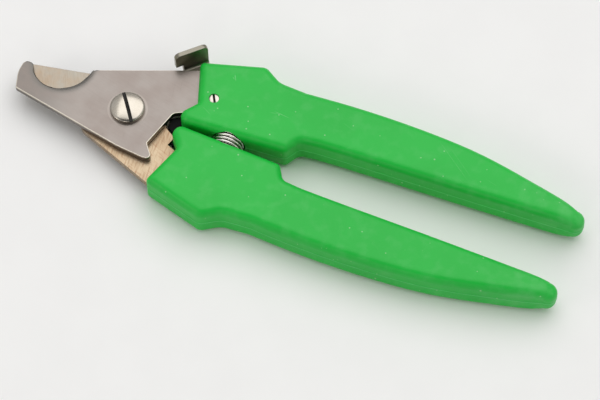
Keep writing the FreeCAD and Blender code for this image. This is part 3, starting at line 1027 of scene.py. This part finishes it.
@dataclass
class ReturnSpring:
    """Wound compression spring between the handles.

    Attributes:
        wire: Diameter of the wire.
        dead_turns: Closed turns at each end.
        live_turns: Open turns between them.
        steps: Steps of each turn.
        sides: Sides of the wire.
        grip: Share of the half length past which a turn rides wholly with its handle; not used.
    """

    wire: float = 0.8 * MM
    dead_turns: float = 1.0
    live_turns: float = 13.0
    steps: int = 36
    sides: int = 12
    grip: float = 0.9

    def wind(self, material: Material) -> Object:
        """Wind the spring along Y.

        Args:
            material: Its finish.

        Returns:
            The finished piece.
        """
        low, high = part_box("return_spring")
        axis = Vector(((low.x + high.x) / 2.0, low.y, (low.z + high.z) / 2.0))
        middle_r = (high.x - low.x - self.wire) / 2.0
        length = high.y - low.y - self.wire
        dead_pitch = self.wire * 1.02
        live_pitch = (length - 2.0 * dead_pitch * self.dead_turns) / self.live_turns
        bm = bmesh.new()
        start = Matrix.Translation((axis.x + middle_r, low.y + self.wire / 2.0, axis.z))
        bmesh.ops.create_circle(
            bm, cap_ends=False, radius=self.wire / 2.0, segments=self.sides, matrix=start
        )
        geom = bm.verts[:] + bm.edges[:]
        dead, live = (self.dead_turns, dead_pitch), (self.live_turns, live_pitch)
        for turns, pitch in (dead, live, dead):
            count = round(turns * self.steps)
            made = bmesh.ops.spin(
                bm, geom=geom, cent=axis, axis=(0, 1, 0), dvec=(0, turns * pitch / count, 0),
                angle=math.tau * turns, steps=count,
            )
            geom = made["geom_last"]
        bmesh.ops.holes_fill(bm, edges=[e for e in bm.edges if e.is_boundary], sides=0)
        bmesh.ops.recalc_face_normals(bm, faces=bm.faces)
        obj = piece(bm, "return_spring_wound", material, None, ["return_spring"], 50.0)
        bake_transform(obj)
        return obj


@dataclass
class ThumbCatch:
    """Lever with the claw and the thumb tab, and its pin.

    Attributes:
        edge: Width of the lever's broken edges.
        foot: Height under which the bend carries a painted highlight.
        crest: Height over which the tab's end carries a painted highlight.
        beyond: Inside this the claw carries painted shade, in millimetres from the pivot.
        pin_r: Radius of the pin.
        pin_crown: Radius of its slightly domed face.
        pin_slot_turn: Direction of the pin's slot in degrees.
        pin_slot_width: Width of the slot.
        pin_slot_depth: Depth of the slot.
    """

    edge: float = 0.12 * MM
    foot: float = 7.4 * MM
    crest: float = 12.75 * MM
    beyond: float = 15.0
    pin_r: float = 1.45 * MM
    pin_crown: float = 20.0 * MM
    pin_slot_turn: float = -61.0
    pin_slot_width: float = 0.6 * MM
    pin_slot_depth: float = 0.9 * MM

    def lever(self, material: Material) -> Object:
        """Formed lever with broken edges.

        Args:
            material: Its finish.

        Returns:
            The finished piece.
        """
        bm = cad_copy("thumb_catch")
        soften(bm, self.edge, 2, 55.0)
        return piece(bm, "thumb_catch_formed", material, Body.CATCH, ["thumb_catch"])

    def pin(self, material: Material) -> Object:
        """Turned pin with a slightly crowned, slotted end.

        Args:
            material: Its finish.

        Returns:
            The finished piece.
        """
        low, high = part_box("catch_pin")
        radius, rim, crown = (high.x - low.x) / 2.0, 0.22 * MM, 0.12 * MM
        profile = [(0.0, high.z), (radius * 0.45, high.z - crown * 0.25)]
        profile += [(radius - rim, high.z - crown)]
        profile += [(radius - rim * 0.3, high.z - crown - rim * 0.3), (radius, high.z - crown - rim)]
        profile += [(radius, low.z + rim), (radius - rim, low.z), (0.0, low.z)]
        size = (4.0 * radius, self.pin_slot_width, 2.0 * self.pin_slot_depth)
        tool = block(size, Vector((CATCH_AXIS.x, CATCH_AXIS.y, high.z)), self.pin_slot_turn)
        bm = carved(lathe(profile, CATCH_AXIS, 40), tool)
        soften(bm, 0.04 * MM, 1, 50.0)
        return piece(bm, "catch_pin_turned", material, Body.UPPER, ["catch_pin"], 40.0)


@dataclass
class Handles:
    """Moulded handle shells and the parting line round each handle.

    The attributes from clear_x on are in millimetres from the pivot.

    Attributes:
        proud: How far the parting line stands out.
        height: Height of the line.
        nudge: Its distance from the seam.
        seam: Height at which the shells meet.
        clear_x: Behind this the line runs on every side.
        clear_y: Further out than this it also runs beside the tang.
        peg_xs: Places of the pegs inside the shells.
        peg_y: Their distance from the middle line.
        peg_r: Room round a peg.
        pocket_x: Middle of the spring's pocket.
        pocket_r: Half its width.
        pocket_y: Its depth, and where the tang's slot begins.
        tang_xs: Reach of the tang's slot.
    """

    proud: float = 0.07 * MM
    height: float = 0.30 * MM
    nudge: float = 0.01 * MM
    seam: float = 5.5 * MM
    clear_x: float = 27.0
    clear_y: float = 20.6
    peg_xs: tuple[float, float] = (46.0, 68.0)
    peg_y: float = 14.9
    peg_r: float = 3.0
    pocket_x: float = 29.6
    pocket_r: float = 5.1
    pocket_y: float = 9.0
    tang_xs: tuple[float, float] = (15.0, 44.0)

    def dress(self, material: Material) -> None:
        """Give the four shells their plastic.

        Args:
            material: Their finish.
        """
        for body in (Body.UPPER, Body.LOWER):
            for half in ("front", "rear"):
                refinish(f"{body.value}_{half}", material)

    def parting_line(self, body: Body, material: Material) -> Object:
        """Fine raised line where the two shells of a handle meet.

        Args:
            body: The handle.
            material: Its finish.

        Returns:
            The finished piece.
        """
        half, low = "front", self.seam + self.nudge
        if body is Body.UPPER:
            half, low = "rear", self.seam - self.height - self.nudge
        bm = cad_copy(f"{body.value}_{half}")
        for level, is_top in ((low, False), (low + self.height, True)):
            bmesh.ops.bisect_plane(
                bm, geom=bm.verts[:] + bm.edges[:] + bm.faces[:], plane_co=(0, 0, level),
                plane_no=(0, 0, 1), clear_outer=is_top, clear_inner=not is_top,
            )
        waste = [f for f in bm.faces if not self._on_line(f)]
        bmesh.ops.delete(bm, geom=waste, context="FACES")
        bm.normal_update()
        for vert in bm.verts:
            out = Vector((vert.normal.x, vert.normal.y, 0.0))
            vert.co += out.normalized() * self.proud if out.length else out
        bmesh.ops.solidify(bm, geom=bm.faces[:], thickness=self.proud * 3.0)
        name = f"{body.value.split('_')[0]}_parting_line"
        return piece(bm, name, material, body, crease=60.0)

    def _on_line(self, face: BMFace) -> bool:
        """Whether a wall face carries the line.

        Args:
            face: A face of the cut-out band.

        Returns:
            False for a face of a peg, the spring's pocket, the tang's slot or the open front.
        """
        place = (face.calc_center_median() - PIVOT) / MM
        side = abs(place.y)
        pegs = any(math.hypot(place.x - x, side - self.peg_y) < self.peg_r for x in self.peg_xs)
        pocket = abs(place.x - self.pocket_x) < self.pocket_r and side < self.pocket_y
        in_slot = self.pocket_y < side < self.clear_y - 2.0
        in_slot = in_slot and self.tang_xs[0] < place.x < self.tang_xs[1]
        front = place.x < self.clear_x and side < self.clear_y
        return abs(face.normal.z) < 0.5 and not (pegs or pocket or in_slot or front)


@dataclass(frozen=True)
class Lamp:
    """Square soft lamp that faces the object.

    Attributes:
        name: Name of the lamp.
        azimuth: Its direction, in degrees.
        elevation: Its height angle, in degrees.
        reach: Its distance in metres.
        size: Side of the square, in metres.
        watts: Its power.
        tint: Its colour.
    """

    name: str
    azimuth: float
    elevation: float
    reach: float
    size: float
    watts: float
    tint: Colour


@dataclass
class Studio:
    """Floor, lamps, world and camera.

    Attributes:
        floor_size: Side of the floor.
        floor_colour: Colour of the floor.
        azimuth: Camera's direction about the upright axis, in degrees.
        elevation: Camera's height angle in degrees.
        distance: Camera's distance from its target.
        target: The point of the floor that it looks at, in millimetres from the pivot.
        lens: Focal length in millimetres.
        board: Roughness of the floor.
        room: Light of the room at the horizon.
        sky: Light that the room gains overhead.
        stand: Nearness to the camera's direction at which the dimming begins and is full.
        dimming: Share of the light that the stand takes away.
        beyond: Light seen beyond the floor.
        air: Tint of the room's light.
        lamps: The lamps.
    """

    floor_size: float = 6.0
    floor_colour: Colour = field(default_factory=lambda: srgb(243, 243, 243))
    azimuth: float = 21.2
    elevation: float = 62.0
    distance: float = 0.6875
    target: tuple[float, float] = (53.41, -5.66)
    lens: float = 150.0
    board: float = 0.85
    room: float = 0.36
    sky: float = 0.36
    stand: tuple[float, float] = (0.72, 0.98)
    dimming: float = 0.82
    beyond: float = 0.84
    air: Colour = (1.0, 0.995, 0.985)
    lamps: tuple[Lamp, ...] = (
        Lamp("overhead", 185.0, 68.0, 1.15, 1.5, 8.5, (1.0, 0.995, 0.985)),
        Lamp("low_left", -42.0, 25.0, 0.9, 0.30, 0.75, (1.0, 0.95, 0.87)),
        Lamp("low_front", 6.0, 28.0, 0.9, 0.25, 0.45, (1.0, 0.97, 0.91)),
        Lamp("low_right", 95.0, 16.0, 0.9, 0.30, 0.40, (1.0, 0.97, 0.92)),
    )

    def direction(self, azimuth: float, elevation: float) -> Vector:
        """Unit vector towards an azimuth, from -Y towards +X, and an elevation."""
        a, e = math.radians(azimuth), math.radians(elevation)
        return Vector((math.sin(a) * math.cos(e), -math.cos(a) * math.cos(e), math.sin(e)))

    def floor(self) -> None:
        """Pale board with a very faint mottle."""
        bm = bmesh.new()
        bmesh.ops.create_grid(bm, x_segments=1, y_segments=1, size=self.floor_size / 2.0)
        mesh = bpy.data.meshes.new("floor")
        bm.to_mesh(mesh)
        bm.free()
        g = Graph(bpy.data.materials.new("pale board"))
        mottle = g.even_noise(60.0, 3.0).above(0.3, 0.7)
        tone = g.mix(mottle, self.floor_colour, tuple(c * 0.985 for c in self.floor_colour))
        inputs = {"Base Color": tone, "Roughness": self.board, "Specular IOR Level": 0.2}
        mesh.materials.append(g.surface(inputs))
        link(bpy.data.objects.new("floor", mesh))

    def aim(self, obj: Object, azimuth: float, elevation: float) -> Vector:
        """Turn a lamp or camera back along a direction and put it in the scene.

        Args:
            obj: The lamp or camera.
            azimuth: Its direction, in degrees.
            elevation: Its height angle, in degrees.

        Returns:
            The unit vector towards it.
        """
        way = self.direction(azimuth, elevation)
        obj.rotation_euler = way.to_track_quat("Z", "Y").to_euler()
        link(obj)
        return way

    def light(self, lamp: Lamp) -> None:
        """Set up one lamp.

        Args:
            lamp: What the lamp is.
        """
        data = bpy.data.lights.new(lamp.name, "AREA")
        data.shape, data.size, data.energy, data.color = "SQUARE", lamp.size, lamp.watts, lamp.tint
        obj = bpy.data.objects.new(lamp.name, data)
        obj.location = self.aim(obj, lamp.azimuth, lamp.elevation) * lamp.reach

    def world(self) -> None:
        """Soft room light, brightest overhead and dim round the stand in front of the table."""
        world = bpy.data.worlds.new("room")
        bpy.context.scene.world = world
        g = Graph(world, "Generated")
        up = g.node("ShaderNodeSeparateXYZ", {}, {0: g.place}, "Z")
        way = tuple(self.direction(self.azimuth, self.elevation))
        inputs = {0: g.place, 1: way}
        facing = g.node("ShaderNodeVectorMath", {"operation": "DOT_PRODUCT"}, inputs, "Value")
        level = up.above(0.0, 0.80) * self.sky + self.room
        level = level * (1.0 - facing.above(*self.stand) * self.dimming)
        seen = g.node("ShaderNodeLightPath", {}, {}, "Is Camera Ray")
        strength = seen * self.beyond + (1.0 - seen) * level
        shader = g.node("ShaderNodeBackground", {}, {"Color": self.air, "Strength": strength})
        g.out(shader, "ShaderNodeOutputWorld")

    def camera(self) -> None:
        """Long lens above the blades."""
        data = bpy.data.cameras.new("camera")
        data.lens, data.sensor_width = self.lens, 36.0
        data.clip_start, data.clip_end = 0.01, 20.0
        obj = bpy.data.objects.new("camera", data)
        way = self.aim(obj, self.azimuth, self.elevation)
        obj.location = from_pivot(*self.target) + way * self.distance
        bpy.context.scene.camera = obj

    def build(self) -> None:
        """Set up the whole studio."""
        self.floor()
        self.world()
        for lamp in self.lamps:
            self.light(lamp)
        self.camera()
        bpy.context.scene.view_settings.view_transform = "Standard"
        log.info("studio ready")


def main() -> None:
    """Build every sub-assembly, then the studio."""
    joint, catch, plates, handles = PivotJoint(), ThumbCatch(), BladePlates(), Handles()
    bright = dict(
        colour=srgb(196, 190, 180), tint=srgb(176, 164, 146), stain=srgb(104, 96, 84), roughness=0.20,
        lines=0.25, haze=0.35,
    )
    plate = NotchedSteel(
        "satin plate steel", srgb(143, 136, 131), srgb(136, 125, 119), srgb(110, 105, 101), 0.36,
        lines=0.35, turn=14.0, haze=0.6, centre=tuple(from_pivot(*plates.grind_centre)[:2]),
        # the two greys below are painted shade, and the cream is a painted highlight
        inner=plates.grind_inner, outer=plates.grind_outer, shade=srgb(104, 102, 98),
        hook_shade=srgb(104, 102, 98), rim_highlight=srgb(238, 230, 214), top=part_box("hook_blade")[1].z,
    ).material()
    ground = CrossGroundSteel(
        "ground rear steel", srgb(182, 164, 138), srgb(160, 134, 106), srgb(112, 94, 76), 0.36,
        lines=0.7, turn=62.0, haze=0.7, grey=srgb(154, 150, 141), streak=srgb(128, 88, 62),
        change=from_pivot(-8.0, 0.0).x,
    ).material()
    plastic = Plastic("green moulded plastic", srgb(14, 187, 60), srgb(12, 176, 54), 0.40).material()
    # painted highlight: the parting line's paler green stands in for the light that its raised top catches
    flash_highlight = Plastic("green moulding flash", srgb(84, 208, 112), srgb(70, 196, 98), 0.45).material()
    screw = SlottedSteel(
        "bright pivot steel", **bright, centre=tuple(PIVOT[:2]), top=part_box("pivot_screw")[1].z,
        crown=joint.crown, slot_turn=joint.slot_turn, slot_half=joint.slot_width / 2.0,
        reach=joint.head_r,
    ).material()
    pin = SlottedSteel(
        "bright pin steel", **bright, centre=tuple(CATCH_AXIS[:2]), top=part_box("catch_pin")[1].z,
        crown=catch.pin_crown, slot_turn=catch.pin_slot_turn, slot_half=catch.pin_slot_width / 2.0,
        reach=catch.pin_r,
    ).material()
    fastener = Steel("bright fastener steel", **bright).material()
    wire = Steel(
        "drawn spring wire", srgb(226, 224, 218), srgb(200, 196, 188), srgb(130, 126, 120), 0.22,
        lines=0.5, haze=0.3,
    ).material()
    # the catch's bright colour is a painted highlight, and its claw carries painted shade
    dark = CatchSteel(
        "dark catch steel", srgb(152, 148, 128), srgb(122, 124, 102), srgb(80, 80, 66), 0.34,
        lines=0.5, turn=44.0, haze=0.8, bright=srgb(138, 134, 122), foot=catch.foot,
        crest=catch.crest, beyond=from_pivot(0.0, catch.beyond).y,
    ).material()

    plates.hook(plate)
    plates.cutter(ground)
    joint.screw(screw)
    joint.nut(fastener)
    joint.washer(fastener)
    ReturnSpring().wind(wire)
    catch.lever(dark)
    catch.pin(pin)
    refinish("catch_washer", fastener)
    handles.dress(plastic)
    handles.parting_line(Body.UPPER, flash_highlight)
    handles.parting_line(Body.LOWER, flash_highlight)
    Studio().build()


if __name__ == "__main__":
    main()
